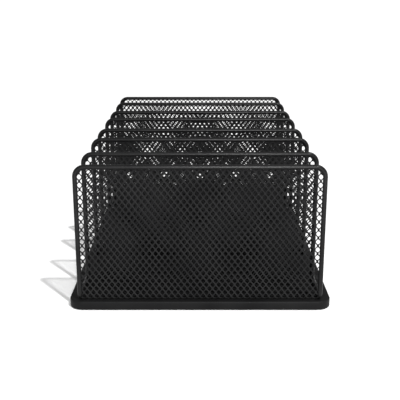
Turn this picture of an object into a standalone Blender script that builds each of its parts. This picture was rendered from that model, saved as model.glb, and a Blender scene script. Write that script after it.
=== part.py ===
"""Desktop file sorter: a steel base plate that carries four U-shaped mesh dividers.

Each divider is a sheet of expanded steel bent into a U, held round its whole edge by one closed loop of wire.
Metres, +Z up. X is the width, -Y the front. The origin is on the desk, under the middle of the base.
"""

import math

import bmesh
import bpy
from mathutils import Vector

# Driving dimensions of the base plate: a shallow steel tray, turned upside down.
BASE_WIDTH = 0.210
BASE_DEPTH = 0.365
BASE_TOP = 0.0076
BASE_SHEET = 0.0009
BASE_CORNER = 0.0117
BASE_CORNER_STEPS = 8
BASE_FOLD = 0.0012
BASE_FOLD_STEPS = 3
SKIRT_CLEARANCE = 0.0006

# Driving dimensions of a divider.
DIVIDER_WIDTH = 0.1954
DIVIDER_DEPTH = 0.0452
DIVIDER_PITCH = 0.1041
DIVIDER_COUNT = 4
TOTAL_HEIGHT = 0.1187
WIRE = 0.0038
TOP_CORNER = 0.00765
WIRE_BEND = 0.004
MESH_SHEET = 0.0008
MESH_BEND = 0.0025

# Rubber feet, glued under the plate.
FOOT_RADIUS = 0.0065
FOOT_TAPER = 0.0005
FOOT_EDGE = 0.0005
FOOT_EDGE_STEPS = 2
FOOT_INSET_X = 0.017
FOOT_INSET_Y = 0.020

# Clearance between pieces that touch on the real object.
TOUCH_GAP = 0.0003

ARC_STEPS = 6
WIRE_RESOLUTION = 3
FOOT_SIDES = 32
SHARP_ANGLE = math.radians(40)

WIRE_RADIUS = WIRE / 2
WIRE_HALF_SPAN = DIVIDER_WIDTH / 2 - WIRE_RADIUS
WIRE_TOP = TOTAL_HEIGHT - WIRE_RADIUS
WIRE_BOTTOM = BASE_TOP + TOUCH_GAP + WIRE_RADIUS
MESH_BOTTOM = BASE_TOP + TOUCH_GAP + MESH_SHEET / 2


def clear_scene():
    for old in list(bpy.data.objects):
        bpy.data.objects.remove(old, do_unlink=True)


def new_collection(name, hidden=False):
    collection = bpy.data.collections.new(name)
    collection.hide_render = hidden
    bpy.context.scene.collection.children.link(collection)
    return collection


def material(name, colour, roughness, metallic):
    made = bpy.data.materials.new(name)
    made.use_nodes = True
    shader = made.node_tree.nodes["Principled BSDF"]
    shader.inputs["Base Color"].default_value = (*colour, 1.0)
    shader.inputs["Roughness"].default_value = roughness
    shader.inputs["Metallic"].default_value = metallic
    return made


def mesh_object(name, bm, collection, finish):
    mesh = bpy.data.meshes.new(name)
    bm.to_mesh(mesh)
    bm.free()
    mesh.shade_smooth()
    mesh.set_sharp_from_angle(angle=SHARP_ANGLE)
    obj = bpy.data.objects.new(name, mesh)
    obj.data.materials.append(finish)
    collection.objects.link(obj)
    return obj


def round_wire(name, points, radius, collection, finish):
    """A closed wire of round section along straight segments through the points."""
    curve = bpy.data.curves.new(name, "CURVE")
    curve.dimensions = "3D"
    curve.bevel_depth = radius
    curve.bevel_resolution = WIRE_RESOLUTION
    spline = curve.splines.new("POLY")
    spline.points.add(len(points) - 1)
    for slot, point in zip(spline.points, points):
        slot.co = (*point, 1.0)
    spline.use_cyclic_u = True
    spline.use_smooth = True
    obj = bpy.data.objects.new(name, curve)
    obj.data.materials.append(finish)
    collection.objects.link(obj)
    return obj


def rounded_corner(before, corner, after, radius):
    """Points on the arc that rounds a right-angled corner between two straight runs."""
    to_before = (before - corner).normalized()
    to_after = (after - corner).normalized()
    centre = corner + (to_before + to_after) * radius
    angles = [math.pi / 2 * step / ARC_STEPS for step in range(ARC_STEPS + 1)]
    return [centre - radius * (to_after * math.cos(a) + to_before * math.sin(a)) for a in angles]


def rounded_loop(corners):
    """A closed line through (point, radius) corners, each one rounded to its own radius."""
    points = []
    for index, (corner, radius) in enumerate(corners):
        before = corners[index - 1][0]
        after = corners[(index + 1) % len(corners)][0]
        points += rounded_corner(before, corner, after, radius)
    return points


def base_plate(collection, finish):
    """Pressed tray: flat top, down-turned skirt, round corners and a soft fold along the top edge."""
    height = BASE_TOP - SKIRT_CLEARANCE
    bm = bmesh.new()
    bmesh.ops.create_cube(bm, size=1.0)
    bmesh.ops.scale(bm, vec=(BASE_WIDTH, BASE_DEPTH, height), verts=bm.verts)
    bmesh.ops.delete(bm, geom=[f for f in bm.faces if f.normal.z < -0.5], context="FACES")
    upright = [e for e in bm.edges if abs(e.verts[0].co.z - e.verts[1].co.z) > height / 2]
    bmesh.ops.bevel(
        bm, geom=upright, offset=BASE_CORNER, segments=BASE_CORNER_STEPS, profile=0.5, affect="EDGES"
    )
    rim = [e for e in bm.edges if all(v.co.z > height * 0.49 for v in e.verts) and len(e.link_faces) == 2]
    bmesh.ops.bevel(bm, geom=rim, offset=BASE_FOLD, segments=BASE_FOLD_STEPS, profile=0.5, affect="EDGES")
    plate = mesh_object("base_plate", bm, collection, finish)
    plate.location.z = SKIRT_CLEARANCE + height / 2
    solidify = plate.modifiers.new("sheet_thickness", "SOLIDIFY")
    solidify.thickness = BASE_SHEET
    solidify.offset = -1
    return plate


def wire_loop(name, front, back, collection, finish):
    """One closed wire: over the front wall, down, along both sides of the floor and over the back wall."""
    half, top, bottom = WIRE_HALF_SPAN, WIRE_TOP, WIRE_BOTTOM
    corners = [
        (Vector((-half, front, top)), TOP_CORNER),
        (Vector((half, front, top)), TOP_CORNER),
        (Vector((half, front, bottom)), WIRE_BEND),
        (Vector((half, back, bottom)), WIRE_BEND),
        (Vector((half, back, top)), TOP_CORNER),
        (Vector((-half, back, top)), TOP_CORNER),
        (Vector((-half, back, bottom)), WIRE_BEND),
        (Vector((-half, front, bottom)), WIRE_BEND),
    ]
    return round_wire(name, rounded_loop(corners), WIRE_RADIUS, collection, finish)


def wall_outline(helpers, finish):
    """Cutter: the front outline of a mesh wall, just inside the wire, as a long prism along Y."""
    side = DIVIDER_WIDTH / 2 - WIRE - TOUCH_GAP
    top = TOTAL_HEIGHT - WIRE - TOUCH_GAP
    radius = TOP_CORNER - WIRE_RADIUS - TOUCH_GAP
    above, corner, below = Vector((-side, 0, top)), Vector((side, 0, top)), Vector((side, 0, 0))
    right = rounded_corner(above, corner, below, radius) + [below]
    left = [Vector((-p.x, p.y, p.z)) for p in reversed(right)]
    bm = bmesh.new()
    face = bm.faces.new([bm.verts.new(p - Vector((0, BASE_DEPTH, 0))) for p in left + right])
    extruded = bmesh.ops.extrude_face_region(bm, geom=[face])
    moved = [v for v in extruded["geom"] if isinstance(v, bmesh.types.BMVert)]
    bmesh.ops.translate(bm, vec=(0, 2 * BASE_DEPTH, 0), verts=moved)
    bmesh.ops.recalc_face_normals(bm, faces=bm.faces)
    cutter = mesh_object("wall_outline", bm, helpers, finish)
    cutter.hide_render = True
    cutter.display_type = "WIRE"
    return cutter


def mesh_sheet(name, front, back, outline, collection, finish):
    """The sheet of expanded steel: a U that lies on the plate, cut to the wall outline."""
    floor = MESH_BOTTOM
    top = TOTAL_HEIGHT
    half = DIVIDER_WIDTH / 2
    front_top, front_foot = Vector((-half, front, top)), Vector((-half, front, floor))
    back_foot, back_top = Vector((-half, back, floor)), Vector((-half, back, top))
    profile = [front_top]
    profile += rounded_corner(front_top, front_foot, back_foot, MESH_BEND)
    profile += rounded_corner(front_foot, back_foot, back_top, MESH_BEND)
    profile += [back_top]
    bm = bmesh.new()
    line = [bm.verts.new(p) for p in profile]
    edges = [bm.edges.new(pair) for pair in zip(line, line[1:])]
    swept = bmesh.ops.extrude_edge_only(bm, edges=edges)
    moved = [v for v in swept["geom"] if isinstance(v, bmesh.types.BMVert)]
    bmesh.ops.translate(bm, vec=(DIVIDER_WIDTH, 0, 0), verts=moved)
    sheet = mesh_object(name, bm, collection, finish)
    solidify = sheet.modifiers.new("sheet_thickness", "SOLIDIFY")
    solidify.thickness = MESH_SHEET
    solidify.offset = 0
    trim = sheet.modifiers.new("cut_to_outline", "BOOLEAN")
    trim.operation = "INTERSECT"
    trim.object = outline
    return sheet


def foot(name, x, y, collection, finish):
    """A round rubber pad from the underside of the plate down to the desk."""
    height = BASE_TOP - BASE_SHEET - TOUCH_GAP
    bm = bmesh.new()
    bmesh.ops.create_cone(
        bm,
        cap_ends=True,
        segments=FOOT_SIDES,
        radius1=FOOT_RADIUS - FOOT_TAPER,
        radius2=FOOT_RADIUS,
        depth=height,
    )
    edge = [e for e in bm.edges if all(v.co.z < 0 for v in e.verts)]
    bmesh.ops.bevel(bm, geom=edge, offset=FOOT_EDGE, segments=FOOT_EDGE_STEPS, profile=0.5, affect="EDGES")
    pad = mesh_object(name, bm, collection, finish)
    pad.location = (x, y, height / 2)
    return pad


def main():
    clear_scene()
    parts = new_collection("desktop_file_sorter")
    helpers = new_collection("cutters", hidden=True)
    black_coat = material("black_powder_coat", (0.022, 0.022, 0.023), 0.45, 0.0)
    black_rubber = material("black_rubber", (0.012, 0.012, 0.012), 0.8, 0.0)

    base_plate(parts, black_coat)
    outline = wall_outline(helpers, black_coat)
    for index in range(DIVIDER_COUNT):
        middle = (index - (DIVIDER_COUNT - 1) / 2) * DIVIDER_PITCH
        front, back = middle - DIVIDER_DEPTH / 2, middle + DIVIDER_DEPTH / 2
        wire_loop(f"divider_{index + 1}_frame", front, back, parts, black_coat)
        mesh_sheet(f"divider_{index + 1}_mesh", front, back, outline, parts, black_coat)

    foot_x = BASE_WIDTH / 2 - FOOT_INSET_X
    foot_y = BASE_DEPTH / 2 - FOOT_INSET_Y
    for row, y in (("front", -foot_y), ("middle", 0), ("rear", foot_y)):
        for side, x in (("left", -foot_x), ("right", foot_x)):
            foot(f"foot_{row}_{side}", x, y, parts, black_rubber)


main()
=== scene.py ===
import math

import bmesh
import bpy
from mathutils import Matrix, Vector


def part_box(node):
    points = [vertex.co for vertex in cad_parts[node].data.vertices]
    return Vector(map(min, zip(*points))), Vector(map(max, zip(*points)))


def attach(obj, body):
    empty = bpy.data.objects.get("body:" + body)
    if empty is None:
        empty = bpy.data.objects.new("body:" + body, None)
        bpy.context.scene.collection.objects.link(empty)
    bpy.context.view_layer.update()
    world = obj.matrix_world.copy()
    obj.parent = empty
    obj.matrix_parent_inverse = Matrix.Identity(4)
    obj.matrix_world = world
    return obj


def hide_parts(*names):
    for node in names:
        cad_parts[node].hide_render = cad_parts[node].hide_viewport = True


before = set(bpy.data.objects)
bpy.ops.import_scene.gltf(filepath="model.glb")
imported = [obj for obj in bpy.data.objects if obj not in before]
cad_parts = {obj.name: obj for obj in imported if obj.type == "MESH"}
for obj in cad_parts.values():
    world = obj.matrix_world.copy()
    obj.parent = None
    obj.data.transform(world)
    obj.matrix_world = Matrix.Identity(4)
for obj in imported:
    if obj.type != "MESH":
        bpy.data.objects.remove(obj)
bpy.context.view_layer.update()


# Rubber feet: six bumpers moulded in black rubber, with a round lip and a shallow dish underneath.
# Each is glued to the underside of the plate and stands a little lower than the skirt.

def add_node(tree, kind, inputs, **settings):
    """A node with its settings, and with each input set to a value or linked to another node's socket."""
    made = tree.nodes.new(kind)
    for name, value in settings.items():
        setattr(made, name, value)
    for key, value in inputs.items():
        if isinstance(value, bpy.types.NodeSocket):
            tree.links.new(value, made.inputs[key])
        else:
            made.inputs[key].default_value = value
    return made


def new_material(name):
    """A material with only a Principled BSDF, and that shader."""
    material = bpy.data.materials.new(name)
    material.use_nodes = True
    return material, material.node_tree, material.node_tree.nodes["Principled BSDF"]


def noise(tree, place, size, detail):
    """Noise whose grains are about size metres across."""
    return add_node(tree, "ShaderNodeTexNoise", {"Vector": place, "Scale": 1 / size, "Detail": detail})


def ranged(tree, factor, low, high):
    """factor from 0 to 1, spread over low to high."""
    made = add_node(tree, "ShaderNodeMapRange", {"Value": factor, "To Min": low, "To Max": high})
    return made.outputs["Result"]


def rubber():
    """Black moulded rubber: matt, with a fine grain and a dusty bloom in patches."""
    material, tree, shader = new_material("black_moulded_rubber")
    place = add_node(tree, "ShaderNodeTexCoord", {}).outputs["Object"]
    bloom = noise(tree, place, 0.006, 4).outputs["Fac"]
    grain = noise(tree, place, 0.0004, 3).outputs["Fac"]
    ramp = add_node(tree, "ShaderNodeValToRGB", {"Fac": bloom})
    ramp.color_ramp.elements[0].position = 0.35
    ramp.color_ramp.elements[0].color = (0.009, 0.009, 0.009, 1)
    ramp.color_ramp.elements[1].position = 0.75
    ramp.color_ramp.elements[1].color = (0.022, 0.022, 0.021, 1)
    bump = add_node(tree, "ShaderNodeBump", {"Height": grain, "Strength": 0.3, "Distance": 0.0002})
    tree.links.new(ramp.outputs["Color"], shader.inputs["Base Color"])
    tree.links.new(ranged(tree, bloom, 0.65, 0.9), shader.inputs["Roughness"])
    tree.links.new(bump.outputs["Normal"], shader.inputs["Normal"])
    shader.inputs["Specular IOR Level"].default_value = 0.3
    return material


def finish_piece(name, mesh, material, slot, *nodes):
    """A finished piece: smooth, in one material, riding on the frame in place of its CAD nodes."""
    piece = bpy.data.objects.new(name, mesh)
    bpy.context.scene.collection.objects.link(piece)
    mesh.materials.clear()
    mesh.materials.append(material)
    mesh.shade_smooth()
    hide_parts(*nodes)
    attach(piece, "root")
    return piece


def turned(profile, centre, steps):
    """A mesh turned about the vertical through centre, from a profile that starts and ends on the axis."""
    bm = bmesh.new()
    line = [bm.verts.new((radius, 0, height)) for radius, height in profile]
    edges = [bm.edges.new(pair) for pair in zip(line, line[1:])]
    bmesh.ops.spin(bm, geom=line + edges, axis=(0, 0, 1), steps=steps, angle=math.tau, use_duplicate=False)
    bmesh.ops.remove_doubles(bm, verts=bm.verts, dist=1e-6)
    bmesh.ops.recalc_face_normals(bm, faces=bm.faces)
    bmesh.ops.translate(bm, vec=centre, verts=bm.verts)
    mesh = bpy.data.meshes.new("turned")
    bm.to_mesh(mesh)
    bm.free()
    return mesh


def arc(centre, radius, start, end, steps):
    """Points along an arc in the plane, angles in degrees."""
    angles = [math.radians(start + (end - start) * step / steps) for step in range(steps + 1)]
    return [(centre[0] + radius * math.cos(a), centre[1] + radius * math.sin(a)) for a in angles]


FOOT_LIP = 0.0009
FOOT_DISH = 0.0006
FOOT_TAPER = 0.0005
FOOT_EDGE = 0.0003
FOOT_SIDES = 40
FOOT_ARC_STEPS = 5
DISH_FLAT = 0.45
DISH_RIM = 0.55
WALL_TOP = 0.75
foot_rubber = rubber()
for row in ("front", "middle", "rear"):
    for side in ("left", "right"):
        node = f"foot_{row}_{side}"
        low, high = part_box(node)
        radius = (high.x - low.x) / 2
        height = high.z - low.z
        profile = [(0, FOOT_DISH), (radius * DISH_FLAT, FOOT_DISH)]
        profile += arc((radius * DISH_RIM, FOOT_LIP), FOOT_LIP, 180, 270, FOOT_ARC_STEPS)
        outer = radius - FOOT_TAPER - FOOT_LIP
        profile += arc((outer, FOOT_LIP), FOOT_LIP, -90, 0, FOOT_ARC_STEPS)
        profile += [(radius, height * WALL_TOP), (radius, height - FOOT_EDGE)]
        profile += [(radius - FOOT_EDGE, height), (0, height)]
        middle = Vector(((low.x + high.x) / 2, (low.y + high.y) / 2, low.z))
        pad = turned(profile, middle, FOOT_SIDES)
        finish_piece(f"rubber_{node}", pad, foot_rubber, "foot_rubber", node)


# Base plate: one blank of 0.9 mm sheet steel, pressed into a shallow tray and used upside down.
# The skirt is turned down over a soft fold, the plan corners are drawn round and the lower rim is deburred.
# It is powder coated black in one go with what is welded to it.

CLOUD_SIZE = 0.03
PEEL_SIZE = 0.0011
GRAIN_SIZE = 0.00035


def powder_coat(name, colour, roughness, gloss):
    """Satin black powder coat: orange peel, a finer grain, faint cloudiness and a wandering gloss."""
    material, tree, shader = new_material(name)
    place = add_node(tree, "ShaderNodeTexCoord", {}).outputs["Object"]
    cloud = noise(tree, place, CLOUD_SIZE, 3).outputs["Fac"]
    peel = noise(tree, place, PEEL_SIZE, 2).outputs["Fac"]
    grain = noise(tree, place, GRAIN_SIZE, 2).outputs["Fac"]
    ramp = add_node(tree, "ShaderNodeValToRGB", {"Fac": cloud})
    ramp.color_ramp.elements[0].position = 0.3
    ramp.color_ramp.elements[0].color = (colour * 0.75, colour * 0.75, colour * 0.78, 1)
    ramp.color_ramp.elements[1].position = 0.7
    ramp.color_ramp.elements[1].color = (colour * 1.25, colour * 1.25, colour * 1.27, 1)
    height = add_node(tree, "ShaderNodeMath", {0: grain, 1: 0.35, 2: peel}, operation="MULTIPLY_ADD")
    bump = add_node(
        tree, "ShaderNodeBump", {"Height": height.outputs["Value"], "Strength": 0.25, "Distance": 0.0001}
    )
    tree.links.new(ramp.outputs["Color"], shader.inputs["Base Color"])
    tree.links.new(ranged(tree, grain, roughness - 0.06, roughness + 0.08), shader.inputs["Roughness"])
    tree.links.new(bump.outputs["Normal"], shader.inputs["Normal"])
    shader.inputs["Specular IOR Level"].default_value = gloss
    return material


def applied(piece):
    """The mesh of an object with its modifiers, as plain data. The object is removed."""
    evaluated = piece.evaluated_get(bpy.context.evaluated_depsgraph_get())
    mesh = bpy.data.meshes.new_from_object(evaluated)
    bpy.data.objects.remove(piece)
    return mesh


BASE_CORNER = 0.0117
BASE_CORNER_STEPS = 20
BASE_FOLD = 0.0012
BASE_FOLD_STEPS = 6
BASE_SHEET = 0.0009
RIM_EDGE = 0.00025
low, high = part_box("base_plate")
middle, size = (low + high) / 2, high - low
bm = bmesh.new()
bmesh.ops.create_cube(bm, size=1.0)
bmesh.ops.scale(bm, vec=size, verts=bm.verts)
bmesh.ops.translate(bm, vec=middle, verts=bm.verts)
bmesh.ops.delete(bm, geom=[f for f in bm.faces if f.normal.z < -0.5], context="FACES")
upright = [e for e in bm.edges if abs(e.verts[0].co.z - e.verts[1].co.z) > size.z / 2]
bmesh.ops.bevel(
    bm, geom=upright, offset=BASE_CORNER, segments=BASE_CORNER_STEPS, profile=0.5, affect="EDGES"
)
rim = [e for e in bm.edges if all(v.co.z > high.z - 1e-6 for v in e.verts) and len(e.link_faces) == 2]
bmesh.ops.bevel(bm, geom=rim, offset=BASE_FOLD, segments=BASE_FOLD_STEPS, profile=0.5, affect="EDGES")
mesh = bpy.data.meshes.new("tray")
bm.to_mesh(mesh)
bm.free()
tray = bpy.data.objects.new("tray", mesh)
bpy.context.scene.collection.objects.link(tray)
solidify = tray.modifiers.new("sheet", "SOLIDIFY")
solidify.thickness = BASE_SHEET
solidify.offset = -1
deburr = tray.modifiers.new("deburr", "BEVEL")
deburr.width = RIM_EDGE
deburr.segments = 2
deburr.angle_limit = math.radians(60)
base_coat = powder_coat("black_powder_coat_plate", colour=0.006, roughness=0.45, gloss=0.04)
finish_piece("pressed_base", applied(tray), base_coat, "base_steel", "base_plate")
base_top = high.z


# Divider edges: for each divider a rounded rectangle of 3.8 mm steel wire, butt welded into a loop.
# It is made flat round the edge of the mesh, then bent twice with it in a press, so that it stands as a U.
# The two runs along the bottom are spot welded to the plate.

WIRE = 0.0038
TOP_CORNER = 0.00765
WIRE_BEND = 0.004
OVERRUN = 0.003
WIRE_STEP = 0.0009
WIRE_SIDES = 16
BEND_STEPS = 10
CORNER_STEPS = 12
DIVIDERS = 4


def new_tree(name, inputs):
    """A geometry node tree that takes a guide path and named inputs. Returns it and its input sockets."""
    tree = bpy.data.node_groups.new(name, "GeometryNodeTree")
    tree.interface.new_socket("Geometry", in_out="INPUT", socket_type="NodeSocketGeometry")
    for label, kind in inputs:
        tree.interface.new_socket(label, in_out="INPUT", socket_type="NodeSocket" + kind)
    tree.interface.new_socket("Geometry", in_out="OUTPUT", socket_type="NodeSocketGeometry")
    return tree, add_node(tree, "NodeGroupInput", {}).outputs


def end_tree(tree, geometry):
    """Links geometry to the tree's output."""
    add_node(tree, "NodeGroupOutput", {"Geometry": geometry})


def maths(tree, operation, a, b=0.0, c=0.0):
    """One sum on numbers or sockets."""
    made = add_node(tree, "ShaderNodeMath", {0: a, 1: b, 2: c}, operation=operation)
    return made.outputs["Value"]


def vector_maths(tree, operation, a, b=(0, 0, 0)):
    """One sum on vectors."""
    made = add_node(tree, "ShaderNodeVectorMath", {0: a, 1: b}, operation=operation)
    return made.outputs["Vector"]


def guide_tree():
    """Rounds the two lower corners of the guide path: the line on which the press bends flat stock."""
    tree, given = new_tree("bend_line", [("Bend radius", "Float")])
    inputs = {"Curve": given["Geometry"], "Radius": given["Bend radius"], "Count": BEND_STEPS}
    rounded = add_node(tree, "GeometryNodeFilletCurve", inputs, mode="POLY")
    end_tree(tree, rounded.outputs["Curve"])
    return tree


def bend_tree():
    """Lays flat geometry along the guide: X stays across it, Y runs along it, Z stands off it."""
    tree, given = new_tree("bend_to_guide", [("Guide", "Geometry")])
    length = add_node(tree, "GeometryNodeCurveLength", {"Curve": given["Guide"]}).outputs["Length"]
    place = add_node(tree, "GeometryNodeInputPosition", {}).outputs["Position"]
    flat = add_node(tree, "ShaderNodeSeparateXYZ", {"Vector": place}).outputs
    along = maths(tree, "MULTIPLY_ADD", length, 0.5, flat["Y"])
    inputs = {"Curves": given["Guide"], "Length": along}
    sample = add_node(tree, "GeometryNodeSampleCurve", inputs, mode="LENGTH").outputs
    across = add_node(tree, "ShaderNodeCombineXYZ", {"X": flat["X"]}).outputs["Vector"]
    off = vector_maths(tree, "CROSS_PRODUCT", (1, 0, 0), sample["Tangent"])
    off = add_node(tree, "ShaderNodeVectorMath", {0: off, "Scale": flat["Z"]}, operation="SCALE")
    beside = vector_maths(tree, "ADD", sample["Position"], across)
    bent = vector_maths(tree, "ADD", beside, off.outputs["Vector"])
    moved = add_node(tree, "GeometryNodeSetPosition", {"Geometry": given["Geometry"], "Position": bent})
    end_tree(tree, moved.outputs["Geometry"])
    return tree


def use_group(tree, inner, inputs):
    """Runs another tree inside this one, and returns its geometry."""
    made = add_node(tree, "GeometryNodeGroup", {}, node_tree=inner)
    for key, value in inputs.items():
        if isinstance(value, bpy.types.NodeSocket):
            tree.links.new(value, made.inputs[key])
        else:
            made.inputs[key].default_value = value
    return made.outputs["Geometry"]


BEND_LINE = guide_tree()
BEND = bend_tree()


def wire_tree():
    """A flat rounded rectangle of wire, as long as the guide less its overrun, bent to the guide."""
    sizes = ["Width", "Top corner", "Bend radius", "Overrun", "Wire", "Step"]
    inputs = [(size, "Float") for size in sizes] + [("Sides", "Int"), ("Coat", "Material")]
    tree, given = new_tree("edge_wire", inputs)
    guide = use_group(tree, BEND_LINE, {"Geometry": given["Geometry"], "Bend radius": given["Bend radius"]})
    length = add_node(tree, "GeometryNodeCurveLength", {"Curve": guide}).outputs["Length"]
    length = maths(tree, "MULTIPLY_ADD", given["Overrun"], -2.0, length)
    box = add_node(
        tree, "GeometryNodeCurvePrimitiveQuadrilateral", {"Width": given["Width"], "Height": length}
    ).outputs["Curve"]
    inputs = {"Curve": box, "Radius": given["Top corner"], "Count": CORNER_STEPS}
    loop = add_node(tree, "GeometryNodeFilletCurve", inputs, mode="POLY").outputs["Curve"]
    loop = add_node(
        tree, "GeometryNodeResampleCurve", {"Curve": loop, "Length": given["Step"]}, mode="LENGTH"
    ).outputs["Curve"]
    bent = use_group(tree, BEND, {"Geometry": loop, "Guide": guide})
    radius = maths(tree, "MULTIPLY", given["Wire"], 0.5)
    circle = {"Resolution": given["Sides"], "Radius": radius}
    ring = add_node(tree, "GeometryNodeCurvePrimitiveCircle", circle)
    inputs = {"Curve": bent, "Profile Curve": ring.outputs["Curve"]}
    tube = add_node(tree, "GeometryNodeCurveToMesh", inputs).outputs["Mesh"]
    real = add_node(tree, "GeometryNodeRealizeInstances", {"Geometry": tube}).outputs["Geometry"]
    coated = add_node(tree, "GeometryNodeSetMaterial", {"Geometry": real, "Material": given["Coat"]})
    end_tree(tree, coated.outputs["Geometry"])
    return tree


def divider_path(front, back, bottom, top):
    """A U of three straight lines through the middle of a divider: down, along the plate and up again."""
    curve = bpy.data.curves.new("divider_path", "CURVE")
    curve.dimensions = "3D"
    line = curve.splines.new("POLY")
    line.points.add(3)
    corners = [(front, top), (front, bottom), (back, bottom), (back, top)]
    for point, (y, z) in zip(line.points, corners):
        point.co = (0, y, z, 1)
    path = bpy.data.objects.new("divider_path", curve)
    bpy.context.scene.collection.objects.link(path)
    return path


def grown(path, tree, values):
    """The plain mesh that a tree makes on a path, with the tree's named inputs set. The path is removed."""
    modifier = path.modifiers.new("grown", "NODES")
    modifier.node_group = tree
    for item in tree.interface.items_tree:
        if item.in_out == "INPUT" and item.name in values:
            modifier[item.identifier] = values[item.name]
    return applied(path)


wire_coat = powder_coat("black_powder_coat_wire", colour=0.006, roughness=0.28, gloss=0.11)
EDGE_WIRE = wire_tree()
wire_bottom = base_top + WIRE / 2
dividers = []
for number in range(1, DIVIDERS + 1):
    low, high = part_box(f"divider_{number}_frame")
    front, back = low.y + WIRE / 2, high.y - WIRE / 2
    width = high.x - low.x - WIRE
    top = high.z - WIRE / 2 + OVERRUN
    dividers.append((number, front, back, width, top))
    values = {"Width": width, "Top corner": TOP_CORNER, "Bend radius": WIRE_BEND, "Overrun": OVERRUN}
    values |= {"Wire": WIRE, "Step": WIRE_STEP, "Sides": WIRE_SIDES, "Coat": wire_coat}
    loop = grown(divider_path(front, back, wire_bottom, top), EDGE_WIRE, values)
    finish_piece(f"edge_wire_{number}", loop, wire_coat, "frame_wire", f"divider_{number}_frame")


# Divider meshes: steel sheet slit and stretched into diamonds, with the long way of each diamond upright.
# Stretching leaves every strand tipped the same way, and the edge strands run into the wire.
# Each sheet goes down one wall, along the plate and up the other wall without a break.

CELL_WIDTH = 0.004995
CELL_HEIGHT = 0.006542
OPENING_WIDTH = 0.0039
OPENING_HEIGHT = 0.00443
OPENING_ROUNDING = 1.23
EDGE_STEPS = 3
STRAND_THICKNESS = 0.0003
STRAND_TILT = 0.6
BOND_WIDTH = 0.0008
STRAND_EDGE = math.radians(50)
MERGE = 2e-5
COLUMNS = 39
ROWS = 40
MESH_REST = 0.0006
MESH_BEND = 0.0025
DRAWN_RUN = 0.019
DRAW = 0.00116


def opening_edge(angle):
    """How far an opening's edge is from its centre in one direction: a diamond with softened points."""
    across = abs(2 * math.cos(angle) / OPENING_WIDTH) ** OPENING_ROUNDING
    up = abs(2 * math.sin(angle) / OPENING_HEIGHT) ** OPENING_ROUNDING
    return (across + up) ** (-1 / OPENING_ROUNDING)


def lift(x, y):
    """How far a point of a knuckle stands off the sheet: every strand is tipped the same way."""
    side = max(-1.0, min(1.0, x / (BOND_WIDTH / 2)))
    slant = (CELL_HEIGHT * x - CELL_WIDTH * abs(y) * side) / math.hypot(CELL_WIDTH, CELL_HEIGHT)
    return STRAND_TILT * slant


def knuckle():
    """One knuckle with its four half strands, flat, cut where the next knuckle's strands begin."""
    slope = math.atan2(CELL_HEIGHT, CELL_WIDTH)
    around = [
        ((CELL_WIDTH / 2, 0), math.pi, slope),
        ((0, CELL_HEIGHT / 2), -math.pi / 2, math.pi / 2 - slope),
        ((-CELL_WIDTH / 2, 0), 0, slope),
        ((0, -CELL_HEIGHT / 2), math.pi / 2, math.pi / 2 - slope),
    ]
    bm = bmesh.new()
    outline = []
    for (x, y), facing, half in around:
        for step in range(EDGE_STEPS + 1):
            angle = facing + half * (1 - 2 * step / EDGE_STEPS)
            reach = opening_edge(angle)
            edge_x, edge_y = x + reach * math.cos(angle), y + reach * math.sin(angle)
            outline.append(bm.verts.new((edge_x, edge_y, lift(edge_x, edge_y))))
    centre = bm.verts.new((0, 0, 0))
    for here, after in zip(outline, outline[1:] + outline[:1]):
        bm.faces.new((centre, here, after))
    mesh = bpy.data.meshes.new("knuckle")
    bm.to_mesh(mesh)
    bm.free()
    piece = bpy.data.objects.new("knuckle", mesh)
    bpy.context.scene.collection.objects.link(piece)
    return piece


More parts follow.
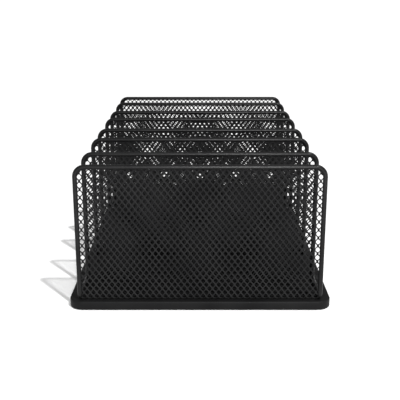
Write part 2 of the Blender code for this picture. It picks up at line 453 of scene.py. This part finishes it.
def mesh_tree():
    """Knuckles on two grids, half a cell apart: trimmed, joined, drawn longer along the plate and bent."""
    sizes = ["Width", "Top corner", "Bend radius", "Overrun", "Cell width", "Cell height"]
    sizes += ["Drawn run", "Draw"]
    inputs = [(size, "Float") for size in sizes] + [("Columns", "Int"), ("Rows", "Int")]
    inputs += [("Knuckle", "Object"), ("Coat", "Material")]
    tree, given = new_tree("expanded_mesh", inputs)
    guide = use_group(tree, BEND_LINE, {"Geometry": given["Geometry"], "Bend radius": given["Bend radius"]})
    both = add_node(tree, "GeometryNodeJoinGeometry", {})
    for fewer in (1, 0):
        columns = maths(tree, "SUBTRACT", given["Columns"], float(fewer))
        rows = maths(tree, "SUBTRACT", given["Rows"], float(fewer))
        wide = maths(tree, "MULTIPLY", maths(tree, "SUBTRACT", columns, 1.0), given["Cell width"])
        tall = maths(tree, "MULTIPLY", maths(tree, "SUBTRACT", rows, 1.0), given["Cell height"])
        inputs = {"Size X": wide, "Size Y": tall, "Vertices X": columns, "Vertices Y": rows}
        grid = add_node(tree, "GeometryNodeMeshGrid", inputs).outputs["Mesh"]
        tree.links.new(grid, both.inputs["Geometry"])
    place = add_node(tree, "GeometryNodeInputPosition", {}).outputs["Position"]
    flat = add_node(tree, "ShaderNodeSeparateXYZ", {"Vector": place}).outputs
    length = add_node(tree, "GeometryNodeCurveLength", {"Curve": guide}).outputs["Length"]
    half_length = maths(tree, "SUBTRACT", maths(tree, "MULTIPLY", length, 0.5), given["Overrun"])
    half_length = maths(tree, "SUBTRACT", half_length, given["Draw"])
    half_width = maths(tree, "MULTIPLY", given["Width"], 0.5)

    # Knuckles whose middles lie outside the rounded outline of the wire are left out.
    past = []
    for axis, half in (("X", half_width), ("Y", half_length)):
        straight = maths(tree, "SUBTRACT", half, given["Top corner"])
        over = maths(tree, "SUBTRACT", maths(tree, "ABSOLUTE", flat[axis]), straight)
        past.append(maths(tree, "MAXIMUM", over, 0.0))
    corner = add_node(tree, "ShaderNodeCombineXYZ", {"X": past[0], "Y": past[1]}).outputs["Vector"]
    reach = add_node(tree, "ShaderNodeVectorMath", {0: corner}, operation="LENGTH").outputs["Value"]
    outside = maths(tree, "GREATER_THAN", reach, given["Top corner"])
    inputs = {"Geometry": both.outputs["Geometry"], "Selection": outside}
    kept = add_node(tree, "GeometryNodeDeleteGeometry", inputs, domain="POINT").outputs["Geometry"]

    # Neighbouring knuckles share the ends of their half strands, so merging joins them into one sheet.
    inputs = {"Object": given["Knuckle"]}
    one = add_node(tree, "GeometryNodeObjectInfo", inputs).outputs["Geometry"]
    placing = add_node(tree, "GeometryNodeInstanceOnPoints", {"Points": kept, "Instance": one})
    many = placing.outputs["Instances"]
    real = add_node(tree, "GeometryNodeRealizeInstances", {"Geometry": many}).outputs["Geometry"]
    merging = add_node(tree, "GeometryNodeMergeByDistance", {"Geometry": real, "Distance": MERGE})
    joined = merging.outputs["Geometry"]

    # The run along the plate is drawn a little longer than the rest.
    drawn = maths(tree, "MAXIMUM", maths(tree, "DIVIDE", flat["Y"], given["Drawn run"]), -1.0)
    drawn = maths(tree, "MULTIPLY", maths(tree, "MINIMUM", drawn, 1.0), given["Draw"])
    offset = add_node(tree, "ShaderNodeCombineXYZ", {"Y": drawn}).outputs["Vector"]
    drawing = add_node(tree, "GeometryNodeSetPosition", {"Geometry": joined, "Offset": offset})
    longer = drawing.outputs["Geometry"]
    bent = use_group(tree, BEND, {"Geometry": longer, "Guide": guide})
    coated = add_node(tree, "GeometryNodeSetMaterial", {"Geometry": bent, "Material": given["Coat"]})
    end_tree(tree, coated.outputs["Geometry"])
    return tree


# The mesh's copy of the one black coat has almost twice the colour of the plate's and the wires': painted
# light, standing in for the light that reaches the inner walls seen through the front ones.
mesh_coat_painted_lighter = powder_coat("black_powder_coat_mesh_painted_lighter", colour=0.0108, roughness=0.5, gloss=0.03)
EXPANDED_MESH = mesh_tree()
one_knuckle = knuckle()
for number, front, back, width, top in dividers:
    values = {"Width": width, "Top corner": TOP_CORNER, "Bend radius": MESH_BEND, "Overrun": OVERRUN}
    values |= {"Cell width": CELL_WIDTH, "Cell height": CELL_HEIGHT, "Drawn run": DRAWN_RUN, "Draw": DRAW}
    values |= {"Columns": COLUMNS, "Rows": ROWS, "Knuckle": one_knuckle, "Coat": mesh_coat_painted_lighter}
    path = divider_path(front, back, base_top + MESH_REST, top)
    sheet = bpy.data.objects.new("sheet", grown(path, EXPANDED_MESH, values))
    bpy.context.scene.collection.objects.link(sheet)
    solidify = sheet.modifiers.new("thickness", "SOLIDIFY")
    solidify.thickness = STRAND_THICKNESS
    solidify.offset = 0
    piece = finish_piece(
        f"expanded_mesh_{number}", applied(sheet), mesh_coat_painted_lighter, "expanded_mesh", f"divider_{number}_mesh"
    )
    piece.data.set_sharp_from_angle(angle=STRAND_EDGE)
bpy.data.objects.remove(one_knuckle)


# Studio: a plain pale floor, even white light from all round, and a soft key light high on the front right.
# A tall narrow light stands on the floor in front, and gives the edge wires their long highlight.

FLOOR_SIZE = 60.0
FLOOR_COLOUR = (0.84, 0.84, 0.84, 1)
ALL_ROUND = 0.4
TOWARDS_KEY = Vector((0.397, -0.555, 1.0))
KEY_POWER = 3.2
KEY_ANGLE = math.radians(2.5)
STRIP_AT = Vector((0.12, -1.5, 0.36))
STRIP_TOWARDS = Vector((0, 0, 0.1))
STRIP_WIDTH = 0.1
STRIP_HEIGHT = 0.9
STRIP_POWER = 32


def placed(name, thing, place, towards):
    """A light or a camera at a place, turned to look along a direction."""
    made = bpy.data.objects.new(name, thing)
    made.location = place
    made.rotation_mode = "QUATERNION"
    made.rotation_quaternion = towards.to_track_quat("-Z", "Y")
    bpy.context.scene.collection.objects.link(made)
    return made


bpy.ops.mesh.primitive_plane_add(size=FLOOR_SIZE)
floor = bpy.context.object
floor.name = "floor"
material, tree, shader = new_material("pale_floor")
shader.inputs["Base Color"].default_value = FLOOR_COLOUR
shader.inputs["Roughness"].default_value = 0.9
shader.inputs["Specular IOR Level"].default_value = 0.0
floor.data.materials.append(material)

world = bpy.data.worlds.new("studio")
world.use_nodes = True
world.node_tree.nodes["Background"].inputs["Color"].default_value = (1, 1, 1, 1)
world.node_tree.nodes["Background"].inputs["Strength"].default_value = ALL_ROUND
bpy.context.scene.world = world

key = bpy.data.lights.new("key", "SUN")
key.energy = KEY_POWER
key.angle = KEY_ANGLE
placed("key", key, TOWARDS_KEY, -TOWARDS_KEY)

strip = bpy.data.lights.new("strip", "AREA")
strip.shape = "RECTANGLE"
strip.size = STRIP_WIDTH
strip.size_y = STRIP_HEIGHT
strip.energy = STRIP_POWER
placed("strip", strip, STRIP_AT, STRIP_TOWARDS - STRIP_AT).visible_camera = False


# Camera: in front of the middle, a little above the dividers, tilted down.

CAMERA_DISTANCE = 0.55727
CAMERA_RISE = 0.2429
CAMERA_TILT = math.radians(16.0)
CAMERA_LENS = 67.78
CAMERA_SENSOR = 36
camera = bpy.data.cameras.new("camera")
camera.lens = CAMERA_LENS
camera.sensor_width = CAMERA_SENSOR
place = Vector((0, dividers[0][1] - CAMERA_DISTANCE, base_top + CAMERA_RISE))
towards = Vector((0, math.cos(CAMERA_TILT), -math.sin(CAMERA_TILT)))
bpy.context.scene.camera = placed("camera", camera, place, towards)
bpy.context.scene.view_settings.view_transform = "Standard"
